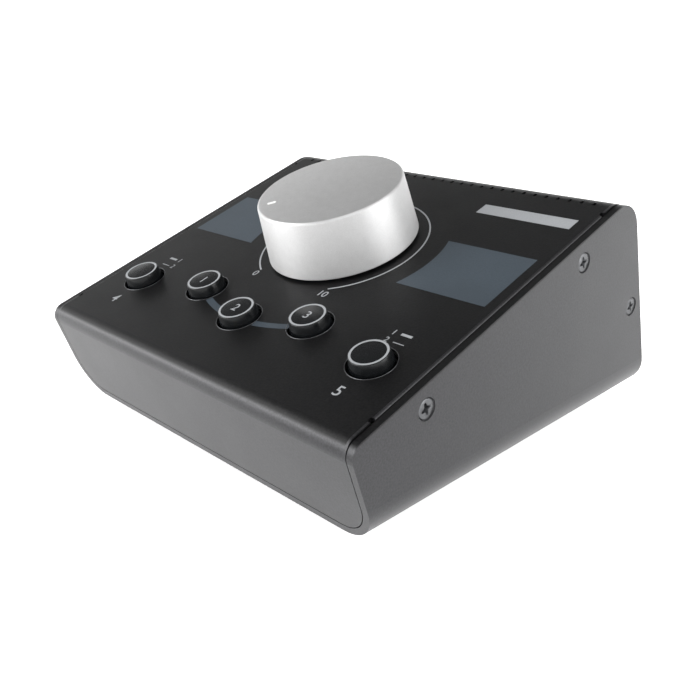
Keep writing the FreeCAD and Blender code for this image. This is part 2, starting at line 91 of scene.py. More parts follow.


# Powder coat: baked polymer powder with fine metal flakes. The eye sees a soft sheen, an orange
# peel about half a millimetre across and a fine sparkle, drawn a little coarser than it is. The
# near-black covers the slope and the upward-facing sheet edges beside it, and fades out over the
# front bend; on those sheet edges it is painted shade, the grey coat drawn dark where it faces up.
# On each side fold a thin line is left grey, a painted highlight along the fold.
black_full_height = -0.0006
black_end_height = -0.0011
fold_aside = 0.0658
highlight_half_width = 0.00035
coat, tree, shader = new_material("powder_coated_steel")
here = add_node(tree, "TexCoord").outputs["Object"]
on_slope = add_node(tree, "Mapping", {"Vector": here, "Location": knob_point,
                                      "Rotation": (slope_angle, 0, 0)}, vector_type="TEXTURE")
axes = add_node(tree, "SeparateXYZ", {"Vector": on_slope.outputs["Vector"]})
flake = add_node(tree, "TexNoise", {"Vector": here, "Scale": 1900.0, "Detail": 2.0})
mottle = add_node(tree, "TexNoise", {"Vector": here, "Scale": 60.0, "Detail": 3.0})
grey = add_node(tree, "MapRange", {"Value": flake.outputs["Fac"], "From Min": 0.3, "From Max": 0.7,
                                   "To Min": 0.0, "To Max": 1.0})
grey_paint = add_node(tree, "Mix", {"Factor": grey.outputs["Result"], "A": linear("#1E1E20"),
                                    "B": linear("#303033")}, data_type="RGBA")
# Near-black above the front bend: on the upward-facing sheet edges beside the slope it is painted
# shade.
near_black = add_node(tree, "Mix", {"Factor": grey.outputs["Result"], "A": linear("#060607"),
                                   "B": linear("#141415")}, data_type="RGBA")
above = add_node(tree, "MapRange", {"Value": axes.outputs["Z"], "From Min": black_end_height,
                                    "From Max": black_full_height})
# A thin grey line on each side fold, where the black is left off: a painted highlight along the
# fold.
aside = add_node(tree, "Math", {0: axes.outputs["X"]}, operation="ABSOLUTE")
painted_fold_highlight = add_node(tree, "Math", {0: aside.outputs["Value"], 1: fold_aside, 2: highlight_half_width},
                operation="COMPARE")
off_fold_highlight = add_node(tree, "Math", {0: 1.0, 1: painted_fold_highlight.outputs["Value"]}, operation="SUBTRACT")
black_above_bend = add_node(tree, "Math", {0: above.outputs["Result"], 1: off_fold_highlight.outputs["Value"]},
                 operation="MULTIPLY")
paint = add_node(tree, "Mix", {"Factor": black_above_bend.outputs["Value"], "A": grey_paint.outputs["Result"],
                               "B": near_black.outputs["Result"]}, data_type="RGBA")
metal = add_node(tree, "MapRange", {"Value": black_above_bend.outputs["Value"], "To Min": 0.5, "To Max": 0.0})
clear = add_node(tree, "MapRange", {"Value": black_above_bend.outputs["Value"], "To Min": 0.5, "To Max": 0.0})
gloss = add_node(tree, "MapRange", {"Value": mottle.outputs["Fac"], "To Min": 0.38, "To Max": 0.5})
peel = add_node(tree, "TexNoise", {"Vector": here, "Scale": 1800.0, "Detail": 1.0})
bump = add_node(tree, "Bump", {"Height": peel.outputs["Fac"], "Strength": 0.5,
                               "Distance": 0.00004})
tree.links.new(paint.outputs["Result"], shader.inputs["Base Color"])
tree.links.new(metal.outputs["Result"], shader.inputs["Metallic"])
tree.links.new(gloss.outputs["Result"], shader.inputs["Roughness"])
tree.links.new(bump.outputs["Normal"], shader.inputs["Normal"])
tree.links.new(clear.outputs["Result"], shader.inputs["Coat Weight"])
shader.inputs["Coat Roughness"].default_value = 0.35
shader.inputs["Specular IOR Level"].default_value = 0.2
dress(coat, "chassis", "top_cover")


# Screws: nickel-plated steel, a little dull. The foot and board screws take the finish as they
# are, and the six side screws, which hold the cover's flanges, get finer heads further on.
nickel, tree, shader = new_material("nickel_plated_steel")
here = add_node(tree, "TexCoord").outputs["Object"]
stain = add_node(tree, "TexNoise", {"Vector": here, "Scale": 900.0, "Detail": 4.0})
tone = add_node(tree, "Mix", {"Factor": stain.outputs["Fac"], "A": linear("#494A4C"),
                              "B": linear("#747577")}, data_type="RGBA")
rough = add_node(tree, "MapRange", {"Value": stain.outputs["Fac"], "To Min": 0.22, "To Max": 0.42})
dents = add_node(tree, "TexNoise", {"Vector": here, "Scale": 2500.0, "Detail": 2.0})
bump = add_node(tree, "Bump", {"Height": dents.outputs["Fac"], "Strength": 0.3,
                               "Distance": 0.00004})
tree.links.new(tone.outputs["Result"], shader.inputs["Base Color"])
tree.links.new(rough.outputs["Result"], shader.inputs["Roughness"])
tree.links.new(bump.outputs["Normal"], shader.inputs["Normal"])
shader.inputs["Metallic"].default_value = 1.0
dress(nickel, "foot_screws", "board_screws")


# Feet: four moulded rubber feet under the chassis, matt black with a faint moulding grain.
rubber, tree, shader = new_material("moulded_rubber")
here = add_node(tree, "TexCoord").outputs["Object"]
grain = add_node(tree, "TexNoise", {"Vector": here, "Scale": 1500.0, "Detail": 3.0})
tone = add_node(tree, "Mix", {"Factor": grain.outputs["Fac"], "A": linear("#151515"),
                              "B": linear("#232323")}, data_type="RGBA")
bump = add_node(tree, "Bump", {"Height": grain.outputs["Fac"], "Strength": 0.4,
                               "Distance": 0.00005})
tree.links.new(tone.outputs["Result"], shader.inputs["Base Color"])
tree.links.new(bump.outputs["Normal"], shader.inputs["Normal"])
shader.inputs["Roughness"].default_value = 0.75
dress(rubber, "rubber_feet")


# Prints on the slope: screen-printed ink, a few hundredths of a millimetre thick. A thin light
# ring round the knob, two blue-grey panels, a blue-grey arc between the middle buttons, and plain
# bars and numbers. All are drawn in millimetres on the slope, from the knob's axis.
ink_thickness = 0.03
ink_bite = 0.005


def add_piece(name, bm, material, body):
    """Turn a bmesh in slope millimetres into a piece of the scene."""
    bmesh.ops.transform(bm, matrix=slope, verts=bm.verts)
    for face in bm.faces:
        face.smooth = True
    for edge in bm.edges:
        edge.smooth = edge.calc_face_angle(0.0) < math.radians(35)
    mesh = bpy.data.meshes.new(name)
    bm.to_mesh(mesh)
    bm.free()
    mesh.materials.append(material)
    piece = bpy.data.objects.new(name, mesh)
    bpy.context.scene.collection.objects.link(piece)
    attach(piece, body)
    return piece


def lay_ink(bm, height=0.0):
    """Give a flat outline the ink's thickness, standing on the given height."""
    bmesh.ops.recalc_face_normals(bm, faces=bm.faces)
    lifted = bmesh.ops.extrude_face_region(bm, geom=bm.faces[:])["geom"]
    tops = [item for item in lifted if isinstance(item, bmesh.types.BMVert)]
    bmesh.ops.translate(bm, verts=tops, vec=(0, 0, ink_thickness))
    bmesh.ops.translate(bm, verts=bm.verts, vec=(0, 0, height - ink_bite))
    bmesh.ops.recalc_face_normals(bm, faces=bm.faces)


def arc_strip(inner, outer, start, end, steps, centre=(0, 0)):
    """Flat strip between two radii, from one angle to another."""
    bm = bmesh.new()
    ends = [bm.verts.new((radius * math.cos(math.radians(start)),
                          radius * math.sin(math.radians(start)), 0)) for radius in (inner, outer)]
    edge = bm.edges.new(ends)
    whole = abs(end - start) > 359.9
    bmesh.ops.spin(bm, geom=ends + [edge], cent=(0, 0, 0), axis=(0, 0, 1), steps=steps,
                   angle=math.radians(end - start), use_merge=whole)
    bmesh.ops.translate(bm, verts=bm.verts, vec=(centre[0], centre[1], 0))
    return bm


def bar(x0, x1, v0, v1):
    """Flat upright rectangle."""
    bm = bmesh.new()
    bmesh.ops.create_grid(bm, x_segments=1, y_segments=1, size=0.5)
    bmesh.ops.scale(bm, verts=bm.verts, vec=(x1 - x0, v1 - v0, 1))
    bmesh.ops.translate(bm, verts=bm.verts, vec=((x0 + x1) / 2, (v0 + v1) / 2, 0))
    return bm


def number(text, x, v, height):
    """Flat outline of a plain number, centred on a point of the slope."""
    curve = bpy.data.curves.new("number", "FONT")
    curve.body = text
    curve.size = 1.0
    curve.offset = 0.004
    curve.fill_mode = "FRONT"
    holder = bpy.data.objects.new("number", curve)
    bpy.context.scene.collection.objects.link(holder)
    bpy.context.view_layer.update()
    mesh = bpy.data.meshes.new_from_object(
        holder.evaluated_get(bpy.context.evaluated_depsgraph_get()))
    bpy.data.objects.remove(holder)
    bpy.data.curves.remove(curve)
    bm = bmesh.new()
    bm.from_mesh(mesh)
    bpy.data.meshes.remove(mesh)
    xs = [vert.co.x for vert in bm.verts]
    ys = [vert.co.y for vert in bm.verts]
    bmesh.ops.remove_doubles(bm, verts=bm.verts, dist=0.0001)
    bmesh.ops.translate(bm, verts=bm.verts,
                        vec=(-(min(xs) + max(xs)) / 2, -(min(ys) + max(ys)) / 2, 0))
    grow = height / (max(ys) - min(ys))
    bmesh.ops.scale(bm, verts=bm.verts, vec=(grow, grow, 1))
    bmesh.ops.translate(bm, verts=bm.verts, vec=(x, v, 0))
    return bm


# Screen ink dries satin, with a slightly uneven film that a noise in colour and gloss gives.
light_ink, tree, shader = new_material("screen_printed_ink_light_grey")
here = add_node(tree, "TexCoord").outputs["Object"]
film = add_node(tree, "TexNoise", {"Vector": here, "Scale": 3000.0, "Detail": 2.0})
tone = add_node(tree, "Mix", {"Factor": film.outputs["Fac"], "A": linear("#8C8E91"),
                              "B": linear("#A9ACAF")}, data_type="RGBA")
rough = add_node(tree, "MapRange", {"Value": film.outputs["Fac"], "To Min": 0.4, "To Max": 0.6})
tree.links.new(tone.outputs["Result"], shader.inputs["Base Color"])
tree.links.new(rough.outputs["Result"], shader.inputs["Roughness"])

blue_ink, tree, shader = new_material("screen_printed_ink_blue_grey")
here = add_node(tree, "TexCoord").outputs["Object"]
film = add_node(tree, "TexNoise", {"Vector": here, "Scale": 2200.0, "Detail": 3.0})
cloud = add_node(tree, "TexNoise", {"Vector": here, "Scale": 45.0, "Detail": 2.0})
mixed = add_node(tree, "Math", {0: film.outputs["Fac"], 1: cloud.outputs["Fac"]},
                 operation="MULTIPLY")
tone = add_node(tree, "Mix", {"Factor": mixed.outputs["Value"], "A": linear("#373F46"),
                              "B": linear("#4D5761")}, data_type="RGBA")
bump = add_node(tree, "Bump", {"Height": film.outputs["Fac"], "Strength": 0.2,
                               "Distance": 0.00002})
tree.links.new(tone.outputs["Result"], shader.inputs["Base Color"])
tree.links.new(bump.outputs["Normal"], shader.inputs["Normal"])
shader.inputs["Roughness"].default_value = 0.5
shader.inputs["Specular IOR Level"].default_value = 0.3

ring_inner = 27.0
ring_outer = 27.5
ring = arc_strip(ring_inner, ring_outer, -56.4, 238.0, 160)
lay_ink(ring)
add_piece("volume_ring_print", ring, light_ink, "case")

# Each panel is bounded by an arc round the knob on one side and by a straight line on the other.
panel_radius = 34.4
panel_first_angle = math.radians(-20.6)
panel_sweep = math.radians(41.7)
panel_side = 62.6
for side, name in ((-1, "left"), (1, "right")):
    panel = bmesh.new()
    corner = panel.verts.new((panel_radius * math.cos(panel_first_angle),
                              panel_radius * math.sin(panel_first_angle), 0))
    bmesh.ops.spin(panel, geom=[corner], cent=(0, 0, 0), axis=(0, 0, 1), steps=24,
                   angle=panel_sweep)
    new = bmesh.ops.extrude_edge_only(panel, edges=panel.edges[:])["geom"]
    for item in new:
        if isinstance(item, bmesh.types.BMVert):
            item.co.x = panel_side
    if side < 0:
        bmesh.ops.scale(panel, verts=panel.verts, vec=(-1, 1, 1))
    lay_ink(panel)
    add_piece("print_panel_" + name, panel, blue_ink, "case")

button_arc_inner = 44.4
button_arc_outer = 46.6
for name, start, end in (("left", -112.5, -99.0), ("right", -81.0, -66.0)):
    strip = arc_strip(button_arc_inner, button_arc_outer, start, end, 16)
    lay_ink(strip)
    add_piece("print_arc_" + name, strip, blue_ink, "case")

for name, shape in (
        ("source_wide_bar_print", bar(-53.7, -50.1, -31.05, -30.15)),
        ("source_thin_bar_print", bar(-53.2, -49.6, -34.45, -34.15)),
        ("monitor_wide_bar_print", bar(50.3, 53.9, -31.35, -30.45)),
        ("monitor_thin_bar_print", bar(50.5, 54.1, -34.65, -34.35)),
        ("rear_bar_print", bar(29.2, 61.6, 29.9, 35.2)),
        ("source_position_1_print", number("1", -48.4, -30.4, 2.0)),
        ("source_position_2_print", number("2", -47.8, -34.0, 2.0)),
        ("monitor_position_1_print", number("1", 48.0, -30.9, 2.0)),
        ("monitor_position_2_print", number("2", 48.1, -34.2, 2.0)),
        ("volume_low_print", number("0", -14.6, -25.2, 2.6)),
        ("volume_high_print", number("10", 15.8, -25.2, 2.6)),
        ("source_number_print", number("4", -50.4, -55.4, 3.6)),
        ("monitor_number_print", number("5", 51.4, -55.6, 3.6))):
    lay_ink(shape)
    add_piece(name, shape, light_ink, "case")


# Side screw heads: each stands in a countersink a little wider than itself, so a dark gap runs
# round it. The rim is rounded, and the cross recess is a four-armed star that narrows downwards.
face_radius = 2.5
rim_radius = 2.64
head_radius = 2.72
shank_radius = 1.5
head_outer_face = 68.3
arm_length = 1.75
arm_half_width = 0.3
arm_root = 0.62
screws = bmesh.new()
bmesh.ops.create_circle(screws, segments=48, radius=face_radius)
outer = screws.edges[:]
star = [screws.verts.new(Matrix.Rotation(math.radians(90 * arm), 3, "Z") @ Vector(corner))
        for arm in range(4) for corner in ((arm_length, -arm_half_width, 0),
                                           (arm_length, arm_half_width, 0),
                                           (arm_root, arm_root, 0))]
inner = [screws.edges.new((star[i - 1], star[i])) for i in range(len(star))]
bmesh.ops.triangle_fill(screws, use_beauty=True, edges=outer + inner)
down_recess = ((0.3, -1.5),)
down_head = ((rim_radius / face_radius, -0.08), (head_radius / rim_radius, -0.16),
             (shank_radius / head_radius, -1.3), (1.0, -6.4))
for loop, steps in ((inner, down_recess), (outer, down_head)):
    for grow, drop in steps:
        new = bmesh.ops.extrude_edge_only(screws, edges=loop)["geom"]
        verts = [item for item in new if isinstance(item, bmesh.types.BMVert)]
        loop = [item for item in new if isinstance(item, bmesh.types.BMEdge)
                and all(vert in verts for vert in item.verts)]
        bmesh.ops.scale(screws, verts=verts, vec=(grow, grow, 1))
        bmesh.ops.translate(screws, verts=verts, vec=(0, 0, drop))
    bmesh.ops.edgeloop_fill(screws, edges=loop)
model_verts = screws.verts[:]
model = model_verts + screws.edges[:] + screws.faces[:]
for side in (-1, 1):
    for v, w in ((-45.0, -7.0), (25.5, -7.0), (49.6, -36.7)):
        new = bmesh.ops.duplicate(screws, geom=model)["geom"]
        bmesh.ops.transform(
            screws, matrix=Matrix.Translation((head_outer_face * side, v, w))
            @ Matrix.Rotation(math.radians(90 * side), 4, "Y"),
            verts=[item for item in new if isinstance(item, bmesh.types.BMVert)])
bmesh.ops.delete(screws, geom=model_verts, context="VERTS")
bmesh.ops.recalc_face_normals(screws, faces=screws.faces)
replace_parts(add_piece("cross_head_screws", screws, nickel, "case"), "side_screws")


# Volume control: a rotary control whose threaded bushing comes up through the cover, held by a
# washer and nut of zinc-plated steel. The plating is bright with a faint yellow-blue cloud.
zinc, tree, shader = new_material("zinc_plated_steel")
here = add_node(tree, "TexCoord").outputs["Object"]
cloud = add_node(tree, "TexNoise", {"Vector": here, "Scale": 350.0, "Detail": 4.0})
tone = add_node(tree, "Mix", {"Factor": cloud.outputs["Fac"], "A": linear("#8E9295"),
                              "B": linear("#ADABA3")}, data_type="RGBA")
rough = add_node(tree, "MapRange", {"Value": cloud.outputs["Fac"], "To Min": 0.25, "To Max": 0.4})
tree.links.new(tone.outputs["Result"], shader.inputs["Base Color"])
tree.links.new(rough.outputs["Result"], shader.inputs["Roughness"])
shader.inputs["Metallic"].default_value = 1.0
dress(zinc, "volume_control_body", "volume_washer", "volume_nut", "volume_shaft",
      "board_standoffs", "jack_washers", "mini_jack_nut")


# Knob: a turned aluminium shell on a moulded hub. Its side widens a little towards the foot, the
# rim is rounded, and the outside is bead-blasted and clear anodised. Heights are above the slope.
knob_foot = 0.85
knob_top = 18.95
knob_ceiling = 17.2
bore_radius = 21.2
foot_radius = 23.9
top_radius = 22.6
shell = bmesh.new()
outline = [(bore_radius, knob_foot), (foot_radius, knob_foot), (top_radius, knob_top),
           (0.0, knob_top), (0.0, knob_ceiling), (bore_radius, knob_ceiling)]
corners = [shell.verts.new((radius, 0, height)) for radius, height in outline]
edges = [shell.edges.new((corners[i], corners[i + 1])) for i in (0, 1, 2, 4)]
edges.append(shell.edges.new((corners[5], corners[0])))
bmesh.ops.spin(shell, geom=corners + edges, cent=(0, 0, 0), axis=(0, 0, 1), steps=160,
               angle=2 * math.pi, use_merge=True)
bmesh.ops.remove_doubles(shell, verts=shell.verts, dist=0.0005)
bmesh.ops.dissolve_degenerate(shell, dist=0.0005, edges=shell.edges)
bmesh.ops.recalc_face_normals(shell, faces=shell.faces)


def rim_edges(bm, radius, height):
    """Edges of one turned corner."""
    return [edge for edge in bm.edges
            if all(abs(vert.co.xy.length - radius) < 0.01 and abs(vert.co.z - height) < 0.01
                   for vert in edge.verts)]


bmesh.ops.bevel(shell, geom=rim_edges(shell, top_radius, knob_top), offset=0.8, affect="EDGES",
                segments=5, profile=0.5, material=-1)
bmesh.ops.bevel(shell, geom=rim_edges(shell, foot_radius, knob_foot), offset=0.25, affect="EDGES",
                segments=3, profile=0.5, material=-1)

# The side and the rim take the second of two finishes, and all the rest the first.
for face in shell.faces:
    middle = face.calc_center_median()
    face.material_index = int(knob_foot + 0.3 < middle.z < knob_top - 0.05
                              and middle.xy.length > bore_radius + 0.3)

# Blasting leaves pits of a few hundredths of a millimetre. They are drawn about ten times as
# coarse, which gives the even, faintly speckled grey of the top.
blasted, tree, shader = new_material("bead_blasted_anodised_aluminium")
here = add_node(tree, "TexCoord").outputs["Object"]
blast = add_node(tree, "TexNoise", {"Vector": here, "Scale": 3200.0, "Detail": 2.0})
patch = add_node(tree, "TexNoise", {"Vector": here, "Scale": 420.0, "Detail": 3.0})
speck = add_node(tree, "Mix", {"Factor": 0.35, "A": blast.outputs["Fac"],
                               "B": patch.outputs["Fac"]}, data_type="FLOAT")
tone = add_node(tree, "Mix", {"Factor": speck.outputs["Result"], "A": linear("#B8B8B8"),
                              "B": linear("#DCDCDC")}, data_type="RGBA")
rough = add_node(tree, "MapRange", {"Value": speck.outputs["Result"], "To Min": 0.4,
                                    "To Max": 0.52})
bump = add_node(tree, "Bump", {"Height": blast.outputs["Fac"], "Strength": 0.25,
                               "Distance": 0.00002})
tree.links.new(tone.outputs["Result"], shader.inputs["Base Color"])
tree.links.new(rough.outputs["Result"], shader.inputs["Roughness"])
tree.links.new(bump.outputs["Normal"], shader.inputs["Normal"])
shader.inputs["Metallic"].default_value = 0.8

# The side keeps fine turning marks that run round the axis, so its highlights are long upright
# bands. The marks are a tangent for the shader, and the speckle of the blasting lies over them.
turned_side, tree, shader = new_material("turned_anodised_aluminium")
here = add_node(tree, "TexCoord").outputs["Object"]
arm = add_node(tree, "VectorMath", {0: here, 1: knob_point}, operation="SUBTRACT")
marks = add_node(tree, "VectorMath", {0: w_axis, 1: arm.outputs["Vector"]},
                 operation="CROSS_PRODUCT")
marks = add_node(tree, "VectorTransform", {"Vector": marks.outputs["Vector"]},
                 vector_type="VECTOR", convert_from="OBJECT", convert_to="WORLD")
marks = add_node(tree, "VectorMath", {0: marks.outputs["Vector"]}, operation="NORMALIZE")
blast = add_node(tree, "TexNoise", {"Vector": here, "Scale": 3200.0, "Detail": 2.0})
patch = add_node(tree, "TexNoise", {"Vector": here, "Scale": 420.0, "Detail": 3.0})
speck = add_node(tree, "Mix", {"Factor": 0.35, "A": blast.outputs["Fac"],
                               "B": patch.outputs["Fac"]}, data_type="FLOAT")
tone = add_node(tree, "Mix", {"Factor": speck.outputs["Result"], "A": linear("#BCBCBC"),
                              "B": linear("#D8D8D8")}, data_type="RGBA")
rough = add_node(tree, "MapRange", {"Value": speck.outputs["Result"], "To Min": 0.44,
                                    "To Max": 0.54})
bump = add_node(tree, "Bump", {"Height": blast.outputs["Fac"], "Strength": 0.2,
                               "Distance": 0.00002})
tree.links.new(tone.outputs["Result"], shader.inputs["Base Color"])
tree.links.new(rough.outputs["Result"], shader.inputs["Roughness"])
tree.links.new(bump.outputs["Normal"], shader.inputs["Normal"])
tree.links.new(marks.outputs["Vector"], shader.inputs["Tangent"])
shader.inputs["Metallic"].default_value = 0.5
shader.inputs["Anisotropic"].default_value = 0.8
shader.inputs["Anisotropic Rotation"].default_value = 0.25
knob = add_piece("turned_knob_shell", shell, blasted, "volume_knob")
knob.data.materials.append(turned_side)
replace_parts(knob, "knob_shell")

# Knob hub: glass-filled nylon, moulded, dark and slightly glossy, seen only from below.
nylon, tree, shader = new_material("glass_filled_nylon")
here = add_node(tree, "TexCoord").outputs["Object"]
fibre = add_node(tree, "TexNoise", {"Vector": here, "Scale": 1200.0, "Detail": 4.0})
tone = add_node(tree, "Mix", {"Factor": fibre.outputs["Fac"], "A": linear("#141416"),
                              "B": linear("#222326")}, data_type="RGBA")
bump = add_node(tree, "Bump", {"Height": fibre.outputs["Fac"], "Strength": 0.3,
                               "Distance": 0.00004})
tree.links.new(tone.outputs["Result"], shader.inputs["Base Color"])
tree.links.new(bump.outputs["Normal"], shader.inputs["Normal"])
shader.inputs["Roughness"].default_value = 0.48
dress(nylon, "knob_hub", "source_select_stem", "mono_stem", "mute_stem", "dim_stem",
      "monitor_select_stem")

# Pointer: a short milled slot near the rim, filled with white lacquer that stands level with the
# top. Its ends are round.
pointer_end_radius = 0.65
pointer_half_straight = 0.75
pointer_depth = 0.4
pointer_from_axis = 18.0
pointer_foot = knob_top - 0.375
pointer_turn = math.radians(-129)
pointer = bmesh.new()
bmesh.ops.create_circle(pointer, cap_ends=True, segments=32, radius=pointer_end_radius)
for vert in pointer.verts:
    vert.co.x += math.copysign(pointer_half_straight, vert.co.x) if abs(vert.co.x) > 0.001 else 0.0
lifted = bmesh.ops.extrude_face_region(pointer, geom=pointer.faces[:])["geom"]
bmesh.ops.translate(pointer, vec=(0, 0, pointer_depth),
                    verts=[item for item in lifted if isinstance(item, bmesh.types.BMVert)])
bmesh.ops.recalc_face_normals(pointer, faces=pointer.faces)
bmesh.ops.translate(pointer, verts=pointer.verts, vec=(pointer_from_axis, 0, pointer_foot))
bmesh.ops.rotate(pointer, verts=pointer.verts, cent=(0, 0, 0),
                 matrix=Matrix.Rotation(pointer_turn, 3, "Z"))
lacquer, tree, shader = new_material("white_lacquer")
here = add_node(tree, "TexCoord").outputs["Object"]
film = add_node(tree, "TexNoise", {"Vector": here, "Scale": 2500.0, "Detail": 2.0})
tone = add_node(tree, "Mix", {"Factor": film.outputs["Fac"], "A": linear("#F1F1F0"),
                              "B": linear("#FCFCFB")}, data_type="RGBA")
tree.links.new(tone.outputs["Result"], shader.inputs["Base Color"])
shader.inputs["Roughness"].default_value = 0.3
mark = add_piece("pointer_lacquer", pointer, lacquer, "volume_knob")
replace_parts(mark, "knob_pointer")


# Push buttons: round caps moulded in ABS, polished black, each with a light printed ring and the
# three on the arc with a plain number. The edge of each punched hole is drawn down a little, and a
# thin bright nickel ring laid on it is a painted highlight on that rounded edge.
button_places = {"source_select": (-51.1, -43.4), "mono": (-23.5, -38.1), "mute": (0.0, -44.4),
                 "dim": (23.5, -38.1), "monitor_select": (51.1, -43.4)}
cap_top = 3.1
cap_top_radius = 5.4
cap_foot_radius = 5.95
cap_bore_radius = 5.1
cap_ceiling = 1.9
collar_radius = 7.5
collar_top = -2.3
collar_foot = -3.2
hole_edge_radius = 6.84

abs_black, tree, shader = new_material("polished_black_abs")
here = add_node(tree, "TexCoord").outputs["Object"]
flow = add_node(tree, "TexNoise", {"Vector": here, "Scale": 500.0, "Detail": 3.0})
tone = add_node(tree, "Mix", {"Factor": flow.outputs["Fac"], "A": linear("#0B0C0D"),
                              "B": linear("#16181A")}, data_type="RGBA")
rough = add_node(tree, "MapRange", {"Value": flow.outputs["Fac"], "To Min": 0.16, "To Max": 0.26})
tree.links.new(tone.outputs["Result"], shader.inputs["Base Color"])
tree.links.new(rough.outputs["Result"], shader.inputs["Roughness"])
shader.inputs["Specular IOR Level"].default_value = 0.3

for name, (x, v) in button_places.items():
    cap = bmesh.new()
    outline = [(0, cap_top), (cap_top_radius, cap_top), (cap_foot_radius, 0),
               (cap_foot_radius, collar_top), (collar_radius, collar_top),
               (collar_radius, collar_foot), (cap_bore_radius, collar_foot),
               (cap_bore_radius, cap_ceiling), (0, cap_ceiling)]
    corners = [cap.verts.new((radius, 0, height)) for radius, height in outline]
    edges = [cap.edges.new(pair) for pair in zip(corners, corners[1:])]
    bmesh.ops.spin(cap, geom=corners + edges, cent=(0, 0, 0), axis=(0, 0, 1), steps=96,
                   angle=2 * math.pi, use_merge=True)
    bmesh.ops.remove_doubles(cap, verts=cap.verts, dist=0.0005)
    bmesh.ops.recalc_face_normals(cap, faces=cap.faces)
    bmesh.ops.bevel(cap, geom=rim_edges(cap, cap_top_radius, cap_top), offset=0.22, affect="EDGES",
                    segments=5, profile=0.5, material=-1)
    bmesh.ops.translate(cap, verts=cap.verts, vec=(x, v, 0))
    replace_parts(add_piece(name + "_cap", cap, abs_black, name + "_key"),
                name + "_button")
    ring = arc_strip(4.58, 5.19, 0, 360, 96, (x, v))
    lay_ink(ring, cap_top)
    add_piece(name + "_ring_print", ring, light_ink, name + "_key")
    # A thin bright nickel ring round the hole's edge: a painted highlight on the rounded edge.
    edge = bmesh.new()
    bmesh.ops.create_circle(edge, segments=12, radius=0.13)
    bmesh.ops.rotate(edge, verts=edge.verts, cent=(0, 0, 0),
                     matrix=Matrix.Rotation(math.radians(90), 3, "X"))
    bmesh.ops.translate(edge, verts=edge.verts, vec=(hole_edge_radius, 0, -0.05))
    bmesh.ops.spin(edge, geom=edge.verts[:] + edge.edges[:], cent=(0, 0, 0), axis=(0, 0, 1),
                   steps=72, angle=2 * math.pi, use_merge=True)
    bmesh.ops.recalc_face_normals(edge, faces=edge.faces)
    bmesh.ops.translate(edge, verts=edge.verts, vec=(x, v, 0))
    add_piece(name + "_hole_edge_highlight", edge, nickel, "case")

for name, text in (("mono", "1"), ("mute", "2"), ("dim", "3")):
    x, v = button_places[name]
    shape = number(text, x, v, 3.0)
    lay_ink(shape, cap_top)
    add_piece(name + "_number_print", shape, light_ink, name + "_key")

# Push switches: moulded in black thermoplastic, matt from a spark-eroded mould.
pbt, tree, shader = new_material("moulded_pbt_black")
here = add_node(tree, "TexCoord").outputs["Object"]
spark = add_node(tree, "TexNoise", {"Vector": here, "Scale": 2000.0, "Detail": 3.0})
tone = add_node(tree, "Mix", {"Factor": spark.outputs["Fac"], "A": linear("#17181A"),
                              "B": linear("#26272A")}, data_type="RGBA")
bump = add_node(tree, "Bump", {"Height": spark.outputs["Fac"], "Strength": 0.35,
                               "Distance": 0.00003})
tree.links.new(tone.outputs["Result"], shader.inputs["Base Color"])
tree.links.new(bump.outputs["Normal"], shader.inputs["Normal"])
shader.inputs["Roughness"].default_value = 0.55
dress(pbt, "source_select_switch", "mono_switch", "mute_switch", "dim_switch",
      "monitor_select_switch")


# Boards: glass-epoxy laminate under green solder mask, in which the glass weave shows faintly as
# squares of about half a millimetre.
laminate, tree, shader = new_material("glass_epoxy_laminate")
here = add_node(tree, "TexCoord").outputs["Object"]
weave = add_node(tree, "TexChecker", {"Vector": here, "Scale": 2000.0,
                                      "Color1": linear("#14402A"), "Color2": linear("#184A31")})
cloud = add_node(tree, "TexNoise", {"Vector": here, "Scale": 200.0, "Detail": 2.0})
rough = add_node(tree, "MapRange", {"Value": cloud.outputs["Fac"], "To Min": 0.3, "To Max": 0.45})
tree.links.new(weave.outputs["Color"], shader.inputs["Base Color"])
tree.links.new(rough.outputs["Result"], shader.inputs["Roughness"])
dress(laminate, "control_board", "jack_board")

# Cable plugs: moulded nylon in its natural ivory.
ivory, tree, shader = new_material("moulded_nylon_ivory")
here = add_node(tree, "TexCoord").outputs["Object"]
flow = add_node(tree, "TexNoise", {"Vector": here, "Scale": 700.0, "Detail": 3.0})
tone = add_node(tree, "Mix", {"Factor": flow.outputs["Fac"], "A": linear("#D9D4C4"),
                              "B": linear("#E8E4D8")}, data_type="RGBA")
tree.links.new(tone.outputs["Result"], shader.inputs["Base Color"])
shader.inputs["Roughness"].default_value = 0.45
dress(ivory, "control_board_plug", "jack_board_plug")

# Flat cable: wires side by side in grey PVC, one every 1.27 mm, so the jacket is ribbed. A wave
# texture at scale 1 repeats every 0.314 m.
wave_period = 0.314
wire_pitch = 0.00127
pvc, tree, shader = new_material("ribbed_grey_pvc")
here = add_node(tree, "TexCoord").outputs["Object"]
ribs = add_node(tree, "TexWave", {"Vector": here, "Scale": wave_period / wire_pitch},
                bands_direction="X")
tone = add_node(tree, "Mix", {"Factor": ribs.outputs["Fac"], "A": linear("#6B6D70"),
                              "B": linear("#9A9C9F")}, data_type="RGBA")
bump = add_node(tree, "Bump", {"Height": ribs.outputs["Fac"], "Strength": 0.8,
                               "Distance": 0.0003})
tree.links.new(tone.outputs["Result"], shader.inputs["Base Color"])
tree.links.new(bump.outputs["Normal"], shader.inputs["Normal"])
shader.inputs["Roughness"].default_value = 0.5
dress(pvc, "flat_cable")


